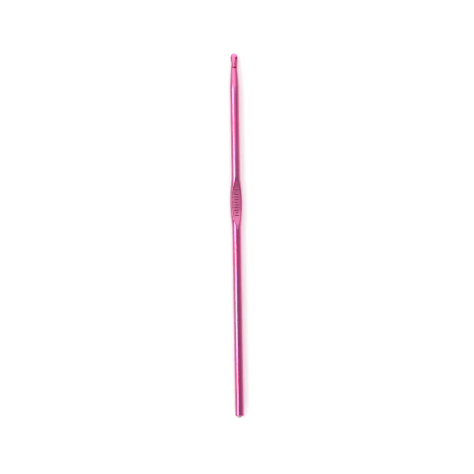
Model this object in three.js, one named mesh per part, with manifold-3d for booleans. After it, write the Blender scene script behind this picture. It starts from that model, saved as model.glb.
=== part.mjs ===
// A crochet hook made from one length of drawn aluminium rod: a round head with a pointed lip over
// an undercut mouth, a tapered neck, a round shaft, a pressed thumb rest and a round handle that
// ends in a small turned stub. The metal is all one piece. It is held here as two solids that meet
// face to face behind the neck, so that the mouth stays open when each is split into convex parts.
//
// Units are millimetres. The hook lies along Y, head towards +Y, with its mouth and the front of
// its thumb rest facing +Z. The origin is below mid length, on the surface that the rod lies on.
// Stations along the hook are measured from the head's tip, and heights from the rod's axis.
import * as THREE from "three";
import { mergeVertices } from "three/addons/utils/BufferGeometryUtils.js";
import Module from "manifold-3d";

// Whole hook
const LENGTH = 152.4;
const SHAFT_RADIUS = 1.875;

// Head, lip and mouth. The head's front rises in a straight line to the lip's point. The head
// and neck are turned, in degrees, to the left of the way the thumb rest faces.
const HEAD_HALF_WIDTH = 1.5;
const HEAD_REACH = 1.75;
const HEAD_FRONT = 1.55;
const HEAD_FRONT_SLOPE = 0.14;
const HEAD_BACK = 1.5;
const HEAD_SQUARENESS = 1;
const HEAD_END = 2.3;
const HEAD_TURN = 20;
const LIP_ROOT = 1.2;
const LIP_TIP = 4.8;
const LIP_HALF_WIDTH = 0.7;
const LIP_TIP_HALF_WIDTH = 0.12;
const FLANK_START = 1.6;
const MOUTH_INNER_END = 1.9;
const MOUTH_INNER_RADIUS = 0.3;
const MOUTH_FLOOR = -0.25;
const MOUTH_FLOOR_END = 5.0;
const MOUTH_RAMP_START = 5.75;

// Neck, which tapers from the mouth out to the shaft
const NECK_HALF_WIDTH = 1.29;
const NECK_START = 4.6;
const NECK_TAPER_START = 5.1;
const NECK_END = 13.5;
const NECK_FACE_START = 6.4;
const NECK_FACE_HEIGHT = 1.33;
const NECK_FACE_END = 14.4;
const PARTING_STATION = 15;

// Thumb rest, pressed on both sides between two curved dies with a flat in the middle
const REST_CENTRE = 62.5;
const REST_BULGE = 0.71;
const REST_BULGE_HALF_LENGTH = 10.5;
const REST_HALF_LENGTH = 11;
const REST_CROWN = 0.33;
const REST_SQUARENESS = -0.3;
const PANEL_HEIGHT = 1.18;
const PANEL_FLAT_HALF_LENGTH = 2.3;
const PANEL_HALF_LENGTH = 11.3;
const PANEL_EASE = 1.2;

// Butt, where the rod was turned down and parted off
const SHOULDER_RADIUS = 0.4;
const STUB_LENGTH = 0.75;
const STUB_RADIUS = 0.88;
const STUB_FACE_RADIUS = 0.5;

// Faceting. The rod's facets touch the true circle, so a flat one lies underneath.
const SIDES = 24;
const FACET_GROWTH = 1 / Math.cos(Math.PI / SIDES);
const CUTTER_REACH = 4;
const ARC_STEPS = 6;

const wasm = await Module();
wasm.setup();

const { clamp, lerp, smoothstep } = THREE.MathUtils;

// 1 in the middle of the thumb rest and 0 at its ends, for a stretch of the given half length.
function pressed(station, halfLength) {
  const t = (station - REST_CENTRE) / halfLength;
  return Math.max(0, 1 - t * t) ** 1.25;
}

// How far the rod's section is drawn in at the head's tip, from 0 at the pole to 1.
function endRounding(station) {
  const toCentre = Math.max(0, 1 - station / HEAD_REACH);
  return Math.sqrt(1 - toCentre * toCentre);
}

// The size that a straight taper along the neck gives, from a size at its mouth end.
function tapered(station, size) {
  const along = (station - NECK_TAPER_START) / (NECK_END - NECK_TAPER_START);
  return lerp(size, SHAFT_RADIUS, clamp(along, 0, 1));
}

function halfWidth(station) {
  const head = lerp(HEAD_HALF_WIDTH, NECK_HALF_WIDTH, smoothstep(station, HEAD_END, NECK_START));
  return tapered(station, head) + REST_BULGE * pressed(station, REST_BULGE_HALF_LENGTH);
}

function headFront(station) {
  return HEAD_FRONT + HEAD_FRONT_SLOPE * (Math.min(station, LIP_TIP) - LIP_TIP);
}

// Half thickness on the mouth side or on the back.
function halfThickness(station, isFront) {
  const head = isFront ? headFront(station) : HEAD_BACK;
  const throat = lerp(head, NECK_HALF_WIDTH, smoothstep(station, LIP_TIP, NECK_TAPER_START));
  return tapered(station, throat) + REST_CROWN * pressed(station, REST_HALF_LENGTH);
}

// The power of the section's curve: 2 is round, and more is squarer, as the head's front is.
function sectionPower(station, isFront) {
  const head = isFront ? 1 - smoothstep(station, LIP_TIP, NECK_TAPER_START + 1) : 0;
  return 2 + HEAD_SQUARENESS * head + REST_SQUARENESS * pressed(station, REST_HALF_LENGTH);
}

// One cross-section of the rod, turned about its axis by an angle in degrees.
function section(station, turn = 0) {
  const rounding = endRounding(station);
  const turnAngle = THREE.MathUtils.degToRad(turn);
  return ring(station, (angle) => {
    const c = FACET_GROWTH * Math.cos(angle - turnAngle);
    const s = FACET_GROWTH * Math.sin(angle - turnAngle);
    const power = 2 / sectionPower(station, s > 0);
    return new THREE.Vector2(
      rounding * halfWidth(station) * Math.sign(c) * Math.abs(c) ** power,
      rounding * halfThickness(station, s > 0) * Math.sign(s) * Math.abs(s) ** power,
    ).rotateAround(new THREE.Vector2(), turnAngle);
  });
}

function roundSection(station, radius) {
  const corner = radius * FACET_GROWTH;
  return ring(station, (angle) =>
    new THREE.Vector2(corner * Math.cos(angle), corner * Math.sin(angle)));
}

function ring(station, pointAt) {
  return Array.from({ length: SIDES }, (_, i) => {
    const { x, y: height } = pointAt(((i + 0.5) / SIDES) * 2 * Math.PI);
    return new THREE.Vector3(x, LENGTH / 2 - station, SHAFT_RADIUS + height);
  });
}

// Evenly spaced numbers from one station up to, and without, another.
function spaced(from, to, count) {
  return Array.from({ length: count }, (_, i) => lerp(from, to, i / count));
}

function headStations() {
  const dome = spaced(0, Math.PI / 2, ARC_STEPS).slice(1)
    .map((angle) => HEAD_REACH * (1 - Math.cos(angle)));
  return [...dome, ...spaced(HEAD_REACH, LIP_TIP, 9), ...spaced(LIP_TIP, NECK_TAPER_START + 1, 6),
    NECK_TAPER_START + 1, NECK_END, PARTING_STATION];
}

function shaftStations() {
  const restStart = REST_CENTRE - REST_HALF_LENGTH;
  const restEnd = REST_CENTRE + REST_HALF_LENGTH;
  return [PARTING_STATION, ...spaced(restStart, restEnd, 30), restEnd];
}

// The rounded shoulder and the domed stub: pairs of station and radius.
function buttProfile() {
  const shoulderStart = LENGTH - STUB_LENGTH - SHOULDER_RADIUS;
  const shoulder = spaced(0, 1, ARC_STEPS).concat(1).map((t) => {
    const angle = (t * Math.PI) / 2;
    return [shoulderStart + SHOULDER_RADIUS * Math.sin(angle),
      SHAFT_RADIUS - SHOULDER_RADIUS * (1 - Math.cos(angle))];
  });
  const stub = spaced(0, 1, 4).concat(1).map((t) => {
    const angle = (t * Math.PI) / 2;
    return [LENGTH - STUB_LENGTH * Math.cos(angle),
      lerp(STUB_RADIUS, STUB_FACE_RADIUS, 1 - Math.cos(angle))];
  });
  return [...shoulder, ...stub];
}

// A closed surface through the rings, with a fan at each end. The first fan meets at startStation.
function loft(rings, startStation) {
  const points = rings.flat();
  const faces = [];
  for (let r = 0; r + 1 < rings.length; r++) {
    for (let i = 0; i < SIDES; i++) {
      const next = (i + 1) % SIDES;
      const [a, b] = [r * SIDES + i, r * SIDES + next];
      const [c, d] = [a + SIDES, b + SIDES];
      faces.push(a, b, c, b, d, c);
    }
  }
  const lastRing = (rings.length - 1) * SIDES;
  const start = points.push(new THREE.Vector3(0, LENGTH / 2 - startStation, SHAFT_RADIUS)) - 1;
  const end = points.push(new THREE.Vector3(0, rings.at(-1)[0].y, SHAFT_RADIUS)) - 1;
  for (let i = 0; i < SIDES; i++) {
    const next = (i + 1) % SIDES;
    faces.push(start, next, i, end, lastRing + i, lastRing + next);
  }
  return new THREE.BufferGeometry().setFromPoints(points).setIndex(faces);
}

function toSolid(geometry) {
  const bare = geometry.clone();
  bare.deleteAttribute("normal");
  bare.deleteAttribute("uv");
  const merged = mergeVertices(bare, 1e-5);
  return new wasm.Manifold(new wasm.Mesh({
    numProp: 3,
    vertProperties: merged.attributes.position.array,
    triVerts: new Uint32Array(merged.index.array),
  }));
}

function toGeometry(solid) {
  const { vertProperties, triVerts } = solid.getMesh();
  const geometry = new THREE.BufferGeometry();
  geometry.setAttribute("position", new THREE.BufferAttribute(vertProperties, 3));
  geometry.setIndex(new THREE.BufferAttribute(triVerts, 1));
  geometry.computeVertexNormals();
  return geometry;
}

// A cutter through the whole width, from an outline of stations and heights.
function crossCutter(outline) {
  const geometry = new THREE.ExtrudeGeometry(outline,
    { depth: 2 * CUTTER_REACH, bevelEnabled: false, curveSegments: ARC_STEPS });
  // The outline's X is the station, which runs against +Y, and its Y is the height.
  const place = new THREE.Matrix4().set(
    0, 0, 1, -CUTTER_REACH,
    -1, 0, 0, LENGTH / 2,
    0, 1, 0, SHAFT_RADIUS,
    0, 0, 0, 1);
  return toSolid(turnedOut(geometry.applyMatrix4(place), place));
}

// A cutter that stands on a plan of stations and X positions, between two heights.
function planCutter(outline, low, high) {
  const geometry = new THREE.ExtrudeGeometry(outline,
    { depth: high - low, bevelEnabled: false, curveSegments: ARC_STEPS });
  const place = new THREE.Matrix4().set(
    0, 1, 0, 0,
    -1, 0, 0, LENGTH / 2,
    0, 0, 1, SHAFT_RADIUS + low,
    0, 0, 0, 1);
  return toSolid(turnedOut(geometry.applyMatrix4(place), place));
}

// A mirroring matrix leaves the faces pointing in, so they are turned back out.
function turnedOut(geometry, matrix) {
  if (matrix.determinant() > 0) return geometry;
  const flat = geometry.index ? geometry.toNonIndexed() : geometry;
  const p = flat.attributes.position.array;
  for (let i = 0; i < p.length; i += 9) {
    for (let k = 0; k < 3; k++) [p[i + 3 + k], p[i + 6 + k]] = [p[i + 6 + k], p[i + 3 + k]];
  }
  return flat;
}

// The mouth under the lip and the sloping face of the neck, as one profile seen from the side.
function mouthProfile() {
  const centre = new THREE.Vector2(MOUTH_INNER_END + MOUTH_INNER_RADIUS,
    MOUTH_FLOOR + MOUTH_INNER_RADIUS);
  const lipTip = new THREE.Vector2(LIP_TIP, HEAD_FRONT);
  // The lip's underside is the tangent from its tip to the round inner end.
  const toTip = lipTip.clone().sub(centre);
  const tangentAngle = toTip.angle() + Math.acos(MOUTH_INNER_RADIUS / toTip.length());
  const tangent = new THREE.Vector2(Math.cos(tangentAngle), Math.sin(tangentAngle))
    .multiplyScalar(MOUTH_INNER_RADIUS).add(centre);
  const outward = lipTip.clone().sub(tangent);
  const above = lipTip.clone().add(outward.multiplyScalar((CUTTER_REACH - HEAD_FRONT) / outward.y));
  const rampTop = new THREE.Vector2(NECK_FACE_START, NECK_FACE_HEIGHT);
  const faceSlope = (SHAFT_RADIUS - NECK_FACE_HEIGHT) / (NECK_FACE_END - NECK_FACE_START);
  const beyondFace = NECK_FACE_END + 1;
  const outline = new THREE.Shape();
  outline.moveTo(above.x, above.y);
  outline.lineTo(tangent.x, tangent.y);
  outline.absarc(centre.x, centre.y, MOUTH_INNER_RADIUS, tangentAngle, 1.5 * Math.PI, false);
  outline.lineTo(MOUTH_FLOOR_END, MOUTH_FLOOR);
  outline.quadraticCurveTo(MOUTH_RAMP_START, MOUTH_FLOOR, rampTop.x, rampTop.y);
  outline.lineTo(beyondFace, SHAFT_RADIUS + faceSlope * (beyondFace - NECK_FACE_END));
  outline.lineTo(beyondFace, CUTTER_REACH);
  outline.closePath();
  return outline;
}

// Half width of the lip, which narrows like an ogive to its point.
function lipHalfWidth(station) {
  const t = clamp((station - LIP_ROOT) / (LIP_TIP - LIP_ROOT), 0, 1);
  return lerp(LIP_TIP_HALF_WIDTH, LIP_HALF_WIDTH, Math.sqrt(1 - t * t));
}

// What is ground off beside the lip. side is 1 or -1.
function lipFlank(side) {
  const outline = new THREE.Shape(spaced(FLANK_START, LIP_TIP, 2 * ARC_STEPS).concat(LIP_TIP)
    .map((station) => new THREE.Vector2(station, side * lipHalfWidth(station))));
  outline.lineTo(LIP_TIP, side * CUTTER_REACH);
  outline.lineTo(FLANK_START, side * CUTTER_REACH);
  outline.closePath();
  return planCutter(outline, MOUTH_FLOOR, CUTTER_REACH);
}

// Height of a pressed panel, which is flat in the middle and rises to the rod's top.
function panelHeight(station) {
  const beyondFlat = Math.abs(station - REST_CENTRE) - PANEL_FLAT_HALF_LENGTH;
  const rise = Math.max(0, beyondFlat / (PANEL_HALF_LENGTH - PANEL_FLAT_HALF_LENGTH));
  return lerp(PANEL_HEIGHT, SHAFT_RADIUS, rise ** 2 * (1 + PANEL_EASE - PANEL_EASE * rise));
}

// What the press displaced above the front panel and, mirrored, below the back one.
function panelCutters() {
  const beyond = 0.5;
  const start = REST_CENTRE - PANEL_HALF_LENGTH - beyond;
  const flatStart = REST_CENTRE - PANEL_FLAT_HALF_LENGTH;
  const flatEnd = REST_CENTRE + PANEL_FLAT_HALF_LENGTH;
  const end = REST_CENTRE + PANEL_HALF_LENGTH + beyond;
  const pressedFace = [...spaced(start, flatStart, 16), ...spaced(flatEnd, end, 16), flatStart, end]
    .sort((a, b) => a - b)
    .map((station) => new THREE.Vector2(station, panelHeight(station)));
  const front = crossCutter(new THREE.Shape([
    new THREE.Vector2(start, CUTTER_REACH), ...pressedFace,
    new THREE.Vector2(end, CUTTER_REACH)]));
  const back = front.translate([0, 0, -SHAFT_RADIUS]).mirror([0, 0, 1])
    .translate([0, 0, SHAFT_RADIUS]);
  return front.add(back);
}

// The head, the mouth under its lip and the neck.
function headGeometry() {
  const rings = headStations().map((station) => section(station, HEAD_TURN));
  const cut = lipFlank(1).add(lipFlank(-1)).add(crossCutter(mouthProfile()));
  const turnedCut = cut.translate([0, 0, -SHAFT_RADIUS]).rotate([0, -HEAD_TURN, 0])
    .translate([0, 0, SHAFT_RADIUS]);
  return toGeometry(toSolid(loft(rings, 0)).subtract(turnedCut));
}

// The shaft, the thumb rest, the handle and the stub at its end.
function shaftGeometry() {
  const blank = toSolid(loft([
    ...shaftStations().map((station) => section(station)),
    ...buttProfile().map(([station, radius]) => roundSection(station, radius)),
  ], PARTING_STATION));
  return toGeometry(blank.subtract(panelCutters()));
}

function metalMesh(name, geometry) {
  const anodised = new THREE.MeshStandardMaterial({
    color: new THREE.Color(0.8, 0.1, 0.33),
    roughness: 0.25,
    metalness: 1,
  });
  const mesh = new THREE.Mesh(geometry, anodised);
  mesh.name = name;
  return mesh;
}

const crochetHook = new THREE.Group();
crochetHook.add(metalMesh("hook_head", headGeometry()), metalMesh("hook_shaft", shaftGeometry()));

export default crochetHook;
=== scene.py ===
"""A crochet hook of pink anodised aluminium, lying on a pale floor in soft studio light.

The metal is one continuous skin. It is the surface where a field, built up from the rod and the
cuts made in it, is zero, so each cut meets the rod in the small soft edge that polishing leaves.

The hook's sizes are in millimetres. "across" is X, "along" is Y, "height" is measured up from the
rod's axis and "station" is the distance behind the head's tip. In the head and neck, "across" and
"height" are turned with them about that axis. Blender's objects are in metres.
"""

import math

import bpy
import numpy as np
from mathutils import Matrix, Vector


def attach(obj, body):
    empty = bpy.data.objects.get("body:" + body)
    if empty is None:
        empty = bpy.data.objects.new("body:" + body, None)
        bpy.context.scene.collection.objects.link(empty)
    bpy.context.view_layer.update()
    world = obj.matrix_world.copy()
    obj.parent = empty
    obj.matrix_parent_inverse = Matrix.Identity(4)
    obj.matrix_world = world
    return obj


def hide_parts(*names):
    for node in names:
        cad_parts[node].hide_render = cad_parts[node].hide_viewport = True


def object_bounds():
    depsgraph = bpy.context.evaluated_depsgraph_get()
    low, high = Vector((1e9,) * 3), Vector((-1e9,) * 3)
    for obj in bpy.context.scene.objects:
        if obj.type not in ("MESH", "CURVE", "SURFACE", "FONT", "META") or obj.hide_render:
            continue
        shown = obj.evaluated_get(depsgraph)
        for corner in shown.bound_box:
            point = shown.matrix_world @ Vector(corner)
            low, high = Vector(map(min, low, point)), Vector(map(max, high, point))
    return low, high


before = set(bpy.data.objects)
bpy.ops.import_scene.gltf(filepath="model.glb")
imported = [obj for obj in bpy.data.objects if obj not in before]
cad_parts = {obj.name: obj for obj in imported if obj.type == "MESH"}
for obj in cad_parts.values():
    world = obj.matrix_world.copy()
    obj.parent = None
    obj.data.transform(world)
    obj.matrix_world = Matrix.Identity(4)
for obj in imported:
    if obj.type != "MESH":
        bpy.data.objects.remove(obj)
cad_low, cad_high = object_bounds()

MM = 0.001
HOOK_LENGTH = (cad_high.y - cad_low.y) / MM
TIP = cad_high.y / MM
AXIS_Z = (cad_low.z + cad_high.z) / 2
ROD_RADIUS = (cad_high.z - cad_low.z) / 2 / MM

# Head, lip and mouth. The head and the neck are turned from the way that the thumb rest faces.
HEAD_TURN = math.radians(20)
TURNED_END = 15.0
HEAD_HALF_WIDTH = 1.5
HEAD_REACH = 1.75
HEAD_FRONT = 1.55
HEAD_FRONT_SLOPE = 0.14
HEAD_BACK = 1.5
HEAD_SQUARENESS = 1.0
HEAD_SQUARE_END = 6.1
HEAD_END = 2.3
HEAD_BLUNTNESS = 2.0
LIP_ROOT = 1.2
LIP_TIP = 4.8
LIP_HALF_WIDTH = 0.7
LIP_TIP_HALF_WIDTH = 0.12
LIP_SLOPE = 0.5
FLANK_START = 1.6
FLANK_END = 5.4
MOUTH_INNER_END = 1.9
MOUTH_FLOOR = -0.25
MOUTH_RAMP_SLOPE = 2.4

# Neck
NECK_HALF_WIDTH = 1.29
NECK_START = 4.6
NECK_TAPER_START = 5.1
NECK_END = 13.5
NECK_FACE_START = 6.4
NECK_FACE_HEIGHT = 1.33
NECK_FACE_END = 14.4
NECK_TAPER_EASE = 0.12

# Thumb rest and its two pressed panels
REST_CENTRE = 62.5
REST_BULGE = 0.71
REST_BULGE_HALF_LENGTH = 10.5
REST_HALF_LENGTH = 11.0
REST_CROWN = 0.33
REST_SQUARENESS = -0.3
REST_EASE = 1.25
PANEL_HEIGHT = 1.18
PANEL_FLAT_HALF_LENGTH = 2.3
PANEL_HALF_LENGTH = 11.3
PANEL_EASE = 1.2
PANEL_OVERRUN = 1.2

# Stamped grooves in the front panel, with a raised dot beside each gap between them
GROOVES_START = 56.3
GROOVE_PITCH = 1.1
GROOVE_COUNT = 11
GROOVE_OFFSET = 0.05
GROOVE_HALF_LENGTH = 0.62
SHORT_GROOVE_HALF_LENGTH = 0.341
GROOVE_HALF_WIDTH = 0.22
DOT_OFFSET = -1.2
DOT_RADIUS = 0.27
MARK_HEIGHT = 0.22
MARK_SIDE = 0.22

# Butt
SHOULDER_ROUNDING = 0.4
STUB_LENGTH = 0.75
STUB_RADIUS = 0.88
STUB_BLUNTNESS = 2.6

# Soft edges
CUT_EDGE = 0.16
LIP_EDGE = 0.12
RIM_EDGE = 0.05
MOUTH_CORNER = 0.5
MOUTH_RAMP_FOOT = 0.9
MOUTH_RAMP_TOP = 0.25
FLANK_CORNER = 0.25
STUB_FILLET = 0.14

# Where each soft border between finishes starts and ends. A depth is under the uncut rod's surface,
# a reach is outwards from a cut or the stub, and sharpness is in radians per millimetre.
SATIN_DEPTH = (0.004, 0.05)
SATIN_HEAD_HEIGHT = (0.7, 1.0)
WORN_SHARPNESS = (2.5, 9.0)
# From here to the flank's reach, the values place painted shade in concave creases, in a band along
# each pressed panel's rim, in the stamped grooves and beside the lip's flanks.
CREASE_SHADE_SHARPNESS = (1.0, 6.0)
BORDER_OUTER_DEPTH = (0.0, 0.03)
BORDER_INNER_DEPTH = (0.15, 0.25)
BORDER_FADE = 0.4
GROOVE_DEPTH = (0.1, 0.3)
GROOVE_PAINTED_SHADE = 0.85
FLANK_REACH = (0.02, 0.1)
FLANK_PAINTED_SHADE = 0.65
BARE_REACH = (0.02, 0.1)

# Grid for the skin: pitch across and up, then (station where a stretch ends, pitch along it)
CROSS_PITCH = 0.08
GRID_MARGIN = 0.3
REST_MARGIN = 12.5
MARKS_MARGIN = 0.5
STRETCHES = (
    (7.0, 0.07),
    (16.0, 0.15),
    (REST_CENTRE - REST_MARGIN, 0.9),
    (GROOVES_START - MARKS_MARGIN, 0.16),
    (GROOVES_START + GROOVE_PITCH * GROOVE_COUNT + MARKS_MARGIN, 0.09),
    (REST_CENTRE + REST_MARGIN, 0.16),
    (HOOK_LENGTH - 2.0, 1.0),
    (HOOK_LENGTH + GRID_MARGIN, 0.07),
)


# ---- the field ----------------------------------------------------------------------------------


def smooth_max(a, b, blend):
    """The larger of two fields, rounded where they cross."""
    near = np.maximum(blend - np.abs(a - b), 0.0)
    return np.maximum(a, b) + near**2 / (4 * blend)


def smooth_min(a, b, blend):
    return -smooth_max(-a, -b, blend)


def ramp(value, start, end):
    """0 before start, 1 after end and straight between them."""
    return np.clip((value - start) / (end - start), 0.0, 1.0)


def smooth_ramp(value, start, end):
    t = ramp(value, start, end)
    return t * t * (3 - 2 * t)


def mix(a, b, t):
    return a + (b - a) * t


def pressed(station, half_length):
    """1 in the middle of the thumb rest and 0 beyond its ends."""
    t = (station - REST_CENTRE) / half_length
    return np.maximum(0.0, 1 - t * t) ** REST_EASE


def taper(station, start, end):
    """A straight taper from start that runs gently into the shaft at end."""
    t = (station - start) / (end - start)
    return np.maximum(smooth_min(t, 1.0, NECK_TAPER_EASE), 0.0)


def half_width(station):
    head = mix(HEAD_HALF_WIDTH, NECK_HALF_WIDTH, smooth_ramp(station, HEAD_END, NECK_START))
    neck = mix(head, ROD_RADIUS, taper(station, NECK_TAPER_START, NECK_END))
    return neck + REST_BULGE * pressed(station, REST_BULGE_HALF_LENGTH)


def half_thickness(station, head_height):
    head = mix(head_height, NECK_HALF_WIDTH, smooth_ramp(station, LIP_TIP, NECK_TAPER_START))
    rod = mix(head, ROD_RADIUS, taper(station, NECK_TAPER_START, NECK_END))
    return rod + REST_CROWN * pressed(station, REST_HALF_LENGTH)


def head_front(station):
    """The head's front rises from the tip to the lip's point, like a beak."""
    return HEAD_FRONT + HEAD_FRONT_SLOPE * (np.clip(station, 0, LIP_TIP) - LIP_TIP)


def squareness(station, height):
    """The power of the rod's section: 2 is round, and the head's front is squarer."""
    head = (height > 0) * (1 - smooth_ramp(station, LIP_TIP, HEAD_SQUARE_END))
    return 2 + HEAD_SQUARENESS * head + REST_SQUARENESS * pressed(station, REST_HALF_LENGTH)


def rod_field(across, station, height):
    """The uncut rod: round, drawn in at the neck and squeezed in the thumb rest."""
    width = half_width(station)
    head_height = np.where(height > 0, head_front(station), HEAD_BACK)
    thickness = half_thickness(station, head_height)
    power = squareness(station, height)
    section = (np.abs(across / width) ** power + np.abs(height / thickness) ** power) ** (1 / power)
    dome = np.maximum(0.0, 1 - station / HEAD_REACH)
    reach = (section**HEAD_BLUNTNESS + dome**HEAD_BLUNTNESS) ** (1 / HEAD_BLUNTNESS)
    rod = (reach - 1) * np.minimum(width, thickness)
    return smooth_max(rod, station - (HOOK_LENGTH - STUB_LENGTH), SHOULDER_ROUNDING)


def stub_field(across, station, height):
    """The domed stub where the rod was parted off."""
    radius = np.hypot(across, height) / STUB_RADIUS
    reach = np.maximum(0.0, station - (HOOK_LENGTH - STUB_LENGTH)) / STUB_LENGTH
    dome = (radius**STUB_BLUNTNESS + reach**STUB_BLUNTNESS) ** (1 / STUB_BLUNTNESS)
    inner_end = HOOK_LENGTH - 2 * STUB_LENGTH - station
    return np.maximum((dome - 1) * STUB_LENGTH, inner_end)


def mouth_floor(station):
    """Height of the mouth's floor, the ramp behind it and the neck's narrow face."""
    slope = (ROD_RADIUS - NECK_FACE_HEIGHT) / (NECK_FACE_END - NECK_FACE_START)
    face = NECK_FACE_HEIGHT + slope * (station - NECK_FACE_START)
    behind = NECK_FACE_HEIGHT + MOUTH_RAMP_SLOPE * (station - NECK_FACE_START)
    floor = smooth_max(MOUTH_FLOOR, behind, MOUTH_RAMP_FOOT)
    return smooth_min(face, floor, MOUTH_RAMP_TOP)


def mouth_field(station, height):
    """Negative in what is cut away above the neck's face and under the lip."""
    above_floor = mouth_floor(station) - height
    opening = smooth_max(above_floor, MOUTH_INNER_END - station, MOUTH_CORNER)
    over_lip = height - HEAD_FRONT - LIP_SLOPE * (station - LIP_TIP)
    return smooth_max(opening, over_lip / math.hypot(1, LIP_SLOPE), MOUTH_CORNER)


def flank_field(across, station, height):
    """Negative in what is ground off each side of the lip, which leaves it pointed like an ogive."""
    t = np.clip((station - LIP_ROOT) / (LIP_TIP - LIP_ROOT), 0.0, 1.0)
    edge = mix(LIP_TIP_HALF_WIDTH, LIP_HALF_WIDTH, np.sqrt(1 - t * t))
    beside = edge - np.abs(across)
    beside = smooth_max(beside, FLANK_START - station, FLANK_CORNER)
    beside = np.maximum(beside, station - FLANK_END)
    return smooth_max(beside, MOUTH_FLOOR - height, FLANK_CORNER)


def marks(across, station, height):
    """The front panel's marks: 1 on a raised dot, -1 in a stamped groove and 0 elsewhere."""
    place = (station - GROOVES_START) / GROOVE_PITCH
    index = np.clip(np.floor(place), 0, GROOVE_COUNT - 1)
    from_groove = (place - index - 0.5) * GROOVE_PITCH
    half_length = np.where(index % 4 == 1, SHORT_GROOVE_HALF_LENGTH, GROOVE_HALF_LENGTH)
    beyond_end = np.maximum(np.abs(across - GROOVE_OFFSET) - half_length, 0.0)
    groove = np.hypot(beyond_end, from_groove) - GROOVE_HALF_WIDTH
    dot_index = np.clip(np.round(place), 1, GROOVE_COUNT - 1)
    from_dot = (place - dot_index) * GROOVE_PITCH
    dot = np.hypot(across - DOT_OFFSET, from_dot) - DOT_RADIUS
    grooves = 1 - smooth_ramp(groove, -MARK_SIDE / 2, MARK_SIDE / 2)
    dots = 1 - smooth_ramp(dot, -MARK_SIDE / 2, MARK_SIDE / 2)
    return np.where(height > 0, dots - grooves, 0.0)


def panel_height(station):
    """Height of the face that the press left: flat in the middle and rising past the rod's top."""
    flat = PANEL_FLAT_HALF_LENGTH
    rise = (np.abs(station - REST_CENTRE) - flat) / (PANEL_HALF_LENGTH - flat)
    rise = np.clip(rise, 0.0, PANEL_OVERRUN)
    return mix(PANEL_HEIGHT, ROD_RADIUS, rise**2 * (1 + PANEL_EASE - PANEL_EASE * rise))


def panel_field(across, station, height):
    """Negative in what the press pushed down over the two panels."""
    face = panel_height(station) + MARK_HEIGHT * marks(across, station, height)
    return face - np.abs(height)


def turned(across, station, height):
    """across and height in the head and neck's own turned frame, and unchanged behind them."""
    turn = HEAD_TURN * (station < TURNED_END)
    return (across * np.cos(turn) + height * np.sin(turn),
            height * np.cos(turn) - across * np.sin(turn))


def hook_field(across, along, height):
    """Negative inside the metal, positive outside it."""
    station = TIP - along
    across, height = turned(across, station, height)
    hook = smooth_max(rod_field(across, station, height),
                      -flank_field(across, station, height), LIP_EDGE)
    hook = smooth_max(hook, -mouth_field(station, height), CUT_EDGE)
    hook = smooth_max(hook, -panel_field(across, station, height), RIM_EDGE)
    return smooth_min(hook, stub_field(across, station, height), STUB_FILLET)


# ---- the skin -----------------------------------------------------------------------------------


def cross_lines(reach):
    """Grid lines across or up, with none on the hook's middle plane."""
    count = math.ceil((reach + GRID_MARGIN) / CROSS_PITCH)
    return (np.arange(-count, count) + 0.5) * CROSS_PITCH


def along_lines():
    """Grid lines along the hook: close where its shape changes and far apart on the plain rod."""
    stations = [-GRID_MARGIN]
    for end, pitch in STRETCHES:
        count = max(1, round((end - stations[-1]) / pitch))
        stations.extend(np.linspace(stations[-1], end, count + 1)[1:])
    return TIP - np.array(stations)[::-1]


def net_quads(inside, cell_number, turn):
    """One quad for each grid line along the turned first axis that passes through the skin."""
    inside, cells = inside.transpose(turn), cell_number.transpose(turn)
    low, high = inside[:-1, 1:-1, 1:-1], inside[1:, 1:-1, 1:-1]
    around = np.stack([cells[:, :-1, :-1], cells[:, 1:, :-1],
                       cells[:, 1:, 1:], cells[:, :-1, 1:]], -1)
    return np.concatenate([around[low & ~high], around[~low & high][:, ::-1]])


def surface_net(field, lines):
    """A point for each grid cell that the skin passes through, and the quads that join them."""
    inside = field(*np.meshgrid(*lines, indexing="ij")) < 0
    corners = sum(inside[i:i - 1 or None, j:j - 1 or None, k:k - 1 or None].astype(np.int8)
                  for i in (0, 1) for j in (0, 1) for k in (0, 1))
    crossed = (corners > 0) & (corners < 8)
    cell_number = np.full(crossed.shape, -1)
    cell_number[crossed] = np.arange(crossed.sum())
    middles = [(line[1:] + line[:-1]) / 2 for line in lines]
    points = np.stack([m[i] for m, i in zip(middles, np.nonzero(crossed))], -1)
    turns = ((0, 1, 2), (1, 2, 0), (2, 0, 1))
    return points, np.concatenate([net_quads(inside, cell_number, turn) for turn in turns])


def field_slope(field, points, step=0.003):
    shifts = np.eye(3) * step
    rises = [field(*(points + s).T) - field(*(points - s).T) for s in shifts]
    return np.stack(rises, -1) / (2 * step)


def pulled_onto_skin(field, points, rounds=6):
    for _ in range(rounds):
        slope = field_slope(field, points)
        steepness = np.maximum((slope**2).sum(-1), 1e-6)
        move = -slope * (field(*points.T) / steepness)[:, None]
        length = np.linalg.norm(move, axis=1, keepdims=True)
        points = points + move * np.minimum(1.0, CROSS_PITCH / np.maximum(length, 1e-9))
    return points


def unit(vectors):
    return vectors / np.maximum(np.linalg.norm(vectors, axis=-1, keepdims=True), 1e-12)


def edge_sharpness(field, points, step=0.04):
    """How sharply the skin turns at each point, per millimetre: high on edges, low in hollows."""
    shifts = np.eye(3) * step
    turns = [unit(field_slope(field, points + s)) - unit(field_slope(field, points - s))
             for s in shifts]
    return sum(turn[:, axis] for axis, turn in enumerate(turns)) / (2 * step)


def add_mask(mesh, name, values):
    mesh.attributes.new(name, "FLOAT", "POINT").data.foreach_set("value", values.astype(np.float32))


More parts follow.
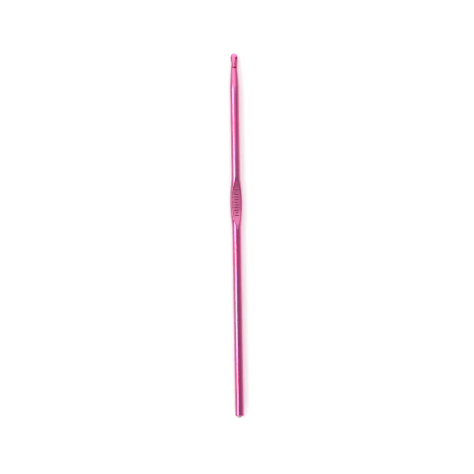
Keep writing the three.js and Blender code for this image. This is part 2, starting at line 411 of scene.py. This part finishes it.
def add_masks(mesh, points):
    """Where the skin is satin, worn, darkened by painted shade, or bare metal."""
    across, along, height = points.T
    station = TIP - along
    across, height = turned(across, station, height)
    depth = -rod_field(across, station, height)
    sharpness = edge_sharpness(hook_field, points)
    marked = marks(across, station, height)

    on_flats = (station > NECK_FACE_START) & (station < HOOK_LENGTH / 2)
    on_head = smooth_ramp(height, *SATIN_HEAD_HEIGHT) * (station < NECK_TAPER_START)
    add_mask(mesh, "satin", np.maximum(smooth_ramp(depth, *SATIN_DEPTH) * on_flats, on_head))
    add_mask(mesh, "worn", np.maximum(ramp(sharpness, *WORN_SHARPNESS), marked))

    # Painted shade: a dark band along each pressed panel's rim, fading towards the thumb rest's
    # ends, the stamped grooves, the skin beside the lip's flanks and concave creases.
    border = smooth_ramp(depth, *BORDER_OUTER_DEPTH) * (1 - smooth_ramp(depth, *BORDER_INNER_DEPTH))
    border = border * pressed(station, REST_HALF_LENGTH) ** BORDER_FADE
    grooves = np.maximum(-marked, 0.0) * smooth_ramp(depth, *GROOVE_DEPTH)
    flank = 1 - smooth_ramp(np.abs(flank_field(across, station, height)), *FLANK_REACH)
    add_mask(mesh, "painted_shade", np.maximum.reduce(
        [ramp(-sharpness, *CREASE_SHADE_SHARPNESS), border, GROOVE_PAINTED_SHADE * grooves, FLANK_PAINTED_SHADE * flank]))

    off_stub = stub_field(across, station, height) + (station < HOOK_LENGTH - STUB_LENGTH)
    add_mask(mesh, "bare", 1 - smooth_ramp(off_stub, *BARE_REACH))


def make_hook():
    reach_across = cad_high.x / MM
    lines = (cross_lines(reach_across), along_lines(), cross_lines(ROD_RADIUS))
    points, quads = surface_net(hook_field, lines)
    points = pulled_onto_skin(hook_field, points)
    mesh = bpy.data.meshes.new("crochet_hook")
    mesh.from_pydata(points * MM + (0, 0, AXIS_Z), [], quads.tolist())
    add_masks(mesh, points)
    mesh.shade_smooth()
    mesh.normals_split_custom_set_from_vertices(unit(field_slope(hook_field, points)))
    hook = bpy.data.objects.new("crochet_hook", mesh)
    bpy.context.scene.collection.objects.link(hook)
    mesh.materials.append(anodised_aluminium())
    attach(hook, "root")
    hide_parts("hook_head", "hook_shaft")


# ---- materials ----------------------------------------------------------------------------------

PINK = (0.56, 0.020, 0.205, 1)
PINK_DEEP = (0.51, 0.015, 0.180, 1)
PINK_SATIN = (0.63, 0.080, 0.270, 1)
PINK_WORN = (0.78, 0.22, 0.42, 1)
# Near-black pink that is painted as shade into creases, grooves, panel rims and beside the lip
PINK_PAINTED_SHADE = (0.14, 0.0, 0.05, 1)
ALUMINIUM = (0.26, 0.24, 0.25, 1)

# Noise cells per millimetre across, along and up the hook
DRAWING_LINES = (7, 0.06, 7)
MOTTLE = (0.5, 0.12, 0.5)
GRAIN = (14, 14, 14)
SCRATCHES_ACROSS = (1.2, 16, 1.2)
SCRATCHES_ALONG = (12, 0.7, 12)

MOTTLE_DETAIL = 3

# The stretch of a noise's values over which what it drives changes
NOISE_MIDDLE = (0.3, 0.7)
MOTTLE_MIDDLE = (0.35, 0.65)
SCRATCH_ACROSS_TOP = (0.66, 0.72)
SCRATCH_ALONG_TOP = (0.68, 0.74)

# How far rubbing changes the colour, and how far painted shade darkens it and thins the clear film
RUBBED_SHARE = (0.35, 0.8)
PAINTED_SHADE_SHARE = 0.85

# Roughness of the polished metal, and what satin, scratched and bare metal add to it
POLISH = (0.19, 0.24)
SATIN_ROUGHER = 0.16
SCRATCH_ROUGHER = 0.06
BARE_ROUGHER = 0.15

# Relief, as shares of its height in millimetres
DRAWING_RELIEF = 0.5
POLISHED_RELIEF = 0.1
SCRATCH_RELIEF = 0.4
BUMP_HEIGHT = 0.003
BUMP_STRENGTH = 0.25

# The clear anodic film
COAT_ROUGHNESS = 0.17
COAT_IOR = 1.9

FLOOR_WHITE = (0.94, 0.94, 0.94, 1)
FLOOR_SHADE = (0.92, 0.92, 0.92, 1)
FLOOR_CLOUDS = (0.01, 0.01, 0.01)
FLOOR_ROUGHNESS = 0.9
FLOOR_SHINE = 0.2


def add_node(tree, kind, inputs=None, **settings):
    """A new node. Each input is a value for its socket or another node's output to link to it."""
    node = tree.nodes.new(kind)
    for name, value in settings.items():
        setattr(node, name, value)
    for name, value in (inputs or {}).items():
        if isinstance(value, bpy.types.NodeSocket):
            tree.links.new(value, node.inputs[name])
        else:
            node.inputs[name].default_value = value
    return node


def new_material(name):
    material = bpy.data.materials.new(name)
    material.use_nodes = True
    return material, material.node_tree, material.node_tree.nodes["Principled BSDF"]


def link_input(tree, node, name, value):
    tree.links.new(value, node.inputs[name])


def noise(tree, coordinates, per_mm, detail=2.0):
    """Noise from 0 to 1 whose cells are 1 / per_mm millimetres long on each axis."""
    scaled = add_node(tree, "ShaderNodeMapping", {
        "Vector": coordinates, "Scale": [n / MM for n in per_mm]})
    return add_node(tree, "ShaderNodeTexNoise", {
        "Vector": scaled.outputs[0], "Scale": 1.0, "Detail": detail}).outputs["Fac"]


def remap(tree, value, low, high, to_low=0.0, to_high=1.0):
    return add_node(tree, "ShaderNodeMapRange", {
        "Value": value, "From Min": low, "From Max": high,
        "To Min": to_low, "To Max": to_high}).outputs[0]


def maths(tree, operation, a, b):
    return add_node(tree, "ShaderNodeMath", {0: a, 1: b}, operation=operation).outputs[0]


def mix_colours(tree, share, a, b):
    return add_node(tree, "ShaderNodeMix", {0: share, 6: a, 7: b}, data_type="RGBA").outputs[2]


def mask(tree, name):
    return add_node(tree, "ShaderNodeAttribute", attribute_name=name).outputs["Fac"]


def anodised_colour(tree, mottle, grain):
    """Mottled pink, paler where satin or rubbed, darkened with painted shade, and grey where bare.
    """
    satin, worn, painted_shade, bare = (mask(tree, name) for name in ("satin", "worn", "painted_shade", "bare"))
    dye = mix_colours(tree, remap(tree, mottle, *MOTTLE_MIDDLE), PINK_DEEP, PINK)
    dye = mix_colours(tree, satin, dye, PINK_SATIN)
    rubbed = maths(tree, "MULTIPLY", worn, remap(tree, grain, *NOISE_MIDDLE, *RUBBED_SHARE))
    colour = mix_colours(tree, rubbed, dye, PINK_WORN)
    # Painted shade: dark pink mixed in over creases, grooves, panel rims and beside the lip.
    shaded = maths(tree, "MULTIPLY", painted_shade, PAINTED_SHADE_SHARE)
    colour = mix_colours(tree, shaded, colour, PINK_PAINTED_SHADE)
    return mix_colours(tree, bare, colour, ALUMINIUM)


def anodised_roughness(tree, drawing_lines, scratches):
    """Polished, and rougher where satin, scratched or bare."""
    finish = remap(tree, drawing_lines, *NOISE_MIDDLE, *POLISH)
    for share, rougher in ((mask(tree, "satin"), SATIN_ROUGHER), (scratches, SCRATCH_ROUGHER),
                           (mask(tree, "bare"), BARE_ROUGHER)):
        finish = maths(tree, "ADD", finish, maths(tree, "MULTIPLY", share, rougher))
    return finish


def anodised_relief(tree, drawing_lines, scratches, grain):
    """Drawing lines and scratches, and a fine grain that is strongest where satin or bare."""
    rough = maths(tree, "MAXIMUM", mask(tree, "satin"), mask(tree, "bare"))
    rough = maths(tree, "ADD", rough, POLISHED_RELIEF)
    lines = maths(tree, "MULTIPLY", drawing_lines, DRAWING_RELIEF)
    surface = maths(tree, "ADD", lines, maths(tree, "MULTIPLY", grain, rough))
    surface = maths(tree, "SUBTRACT", surface, maths(tree, "MULTIPLY", scratches, SCRATCH_RELIEF))
    return add_node(tree, "ShaderNodeBump", {
        "Height": surface, "Strength": BUMP_STRENGTH, "Distance": BUMP_HEIGHT * MM}).outputs[0]


def anodised_aluminium():
    """Pink anodised rod: drawing lines, a mottled dye, hairline scratches, rubbed edges and painted
    shade.
    """
    material, tree, shader = new_material("anodised_aluminium")
    place = add_node(tree, "ShaderNodeTexCoord").outputs["Object"]
    drawing_lines = noise(tree, place, DRAWING_LINES)
    mottle = noise(tree, place, MOTTLE, MOTTLE_DETAIL)
    grain = noise(tree, place, GRAIN)
    scratches = maths(tree, "MAXIMUM",
                      remap(tree, noise(tree, place, SCRATCHES_ACROSS), *SCRATCH_ACROSS_TOP),
                      remap(tree, noise(tree, place, SCRATCHES_ALONG), *SCRATCH_ALONG_TOP))
    # Where shade is painted, the clear film is also thinned away, so those places reflect less.
    shade_thinned_coat = maths(tree, "MULTIPLY", mask(tree, "painted_shade"), PAINTED_SHADE_SHARE)
    link_input(tree, shader, "Base Color", anodised_colour(tree, mottle, grain))
    link_input(tree, shader, "Roughness", anodised_roughness(tree, drawing_lines, scratches))
    link_input(tree, shader, "Normal", anodised_relief(tree, drawing_lines, scratches, grain))
    link_input(tree, shader, "Coat Weight", maths(tree, "SUBTRACT", 1.0, shade_thinned_coat))
    shader.inputs["Metallic"].default_value = 1.0
    shader.inputs["Coat Roughness"].default_value = COAT_ROUGHNESS
    shader.inputs["Coat IOR"].default_value = COAT_IOR
    return material


def floor_paint():
    material, tree, shader = new_material("floor")
    place = add_node(tree, "ShaderNodeTexCoord").outputs["Object"]
    tone = remap(tree, noise(tree, place, FLOOR_CLOUDS), *NOISE_MIDDLE)
    link_input(tree, shader, "Base Color", mix_colours(tree, tone, FLOOR_SHADE, FLOOR_WHITE))
    shader.inputs["Roughness"].default_value = FLOOR_ROUGHNESS
    shader.inputs["Specular IOR Level"].default_value = FLOOR_SHINE
    return material


# ---- the studio ---------------------------------------------------------------------------------

FLOOR_HALF_SIZE = 6.0

# The room's brightness, and where each change of it starts and ends in the direction looked in
ROOM_OVERHEAD = 0.42
ROOM_HORIZON = 1.05
ROOM_RISE = (0.0, 0.9)
ROOM_LEFT = 0.35
ROOM_LEFT_EDGE = (-0.95, -0.8)
ROOM_BUTT_END = 0.3
ROOM_BUTT_EDGE = (-0.5, -0.1)

CAMERA_LENS = 200.0
CAMERA_TILT = math.radians(12)
CAMERA_ROLL = math.radians(0.91)
VIEW_WIDTH = 0.1982
VIEW_CENTRE_OFFSET = Vector((0.0001, -0.0006, 0))


def make_floor():
    mesh = bpy.data.meshes.new("floor")
    s, z = FLOOR_HALF_SIZE, cad_low.z
    mesh.from_pydata([(-s, -s, z), (s, -s, z), (s, s, z), (-s, s, z)], [], [(0, 1, 2, 3)])
    mesh.materials.append(floor_paint())
    floor = bpy.data.objects.new("floor", mesh)
    bpy.context.scene.collection.objects.link(floor)


def make_room():
    """Grey overhead, pale towards the horizon and darker far to the left and past the butt."""
    world = bpy.data.worlds.new("room")
    world.use_nodes = True
    tree = world.node_tree
    direction = add_node(tree, "ShaderNodeTexCoord").outputs["Generated"]
    axes = add_node(tree, "ShaderNodeSeparateXYZ", {0: direction}).outputs
    light = remap(tree, axes["Z"], *ROOM_RISE, ROOM_HORIZON, ROOM_OVERHEAD)
    left = remap(tree, axes["X"], *ROOM_LEFT_EDGE, ROOM_LEFT, 1.0)
    butt_end = remap(tree, axes["Y"], *ROOM_BUTT_EDGE, ROOM_BUTT_END, 1.0)
    strength = maths(tree, "MULTIPLY", maths(tree, "MULTIPLY", light, left), butt_end)
    background = tree.nodes["Background"]
    link_input(tree, background, "Strength", strength)
    background.inputs["Color"].default_value = (1, 1, 1, 1)
    bpy.context.scene.world = world


def soft_light(name, compass, zenith, distance, width, height, brightness):
    """A soft box that faces the hook. compass turns it from +X towards +Y, and zenith from +Z."""
    turn, lean = math.radians(compass), math.radians(zenith)
    direction = Vector((math.sin(lean) * math.cos(turn), math.sin(lean) * math.sin(turn),
                        math.cos(lean)))
    data = bpy.data.lights.new(name, "AREA")
    data.shape, data.size, data.size_y = "RECTANGLE", width, height
    data.energy = brightness * math.pi * width * height
    light = bpy.data.objects.new(name, data)
    light.location = direction * distance
    light.rotation_mode = "QUATERNION"
    light.rotation_quaternion = direction.to_track_quat("Z", "Y")
    light.visible_camera = False
    bpy.context.scene.collection.objects.link(light)


def make_lights():
    """A bright box on the left draws the long highlight, and weaker ones fill both ends."""
    soft_light("strip_box", compass=180, zenith=53, distance=1.2, width=0.4, height=0.5,
               brightness=10.5)
    soft_light("strip_tail", compass=154, zenith=54, distance=1.28, width=0.5, height=0.5,
               brightness=0.4)
    soft_light("head_wall", compass=100, zenith=32, distance=1.5, width=2.2, height=1.6,
               brightness=1.1)
    soft_light("head_fill", compass=90, zenith=76, distance=1.5, width=2.4, height=0.8,
               brightness=2.3)
    soft_light("butt_fill", compass=-90, zenith=74, distance=1.5, width=3.0, height=0.7,
               brightness=5.0)


def make_camera():
    data = bpy.data.cameras.new("camera")
    data.lens = CAMERA_LENS
    half_angle = math.atan(data.sensor_width / 2 / data.lens)
    distance = VIEW_WIDTH / 2 / math.tan(half_angle)
    camera = bpy.data.objects.new("camera", data)
    target = (cad_low + cad_high) / 2 + VIEW_CENTRE_OFFSET
    camera.matrix_world = (Matrix.Translation(target) @ Matrix.Rotation(-CAMERA_TILT, 4, "Y")
                           @ Matrix.Rotation(-CAMERA_ROLL, 4, "Z")
                           @ Matrix.Translation((0, 0, distance)))
    bpy.context.scene.collection.objects.link(camera)
    bpy.context.scene.camera = camera


def main():
    make_hook()
    make_floor()
    make_room()
    make_lights()
    make_camera()
    bpy.context.scene.view_settings.view_transform = "Standard"
    bpy.context.view_layer.update()


main()
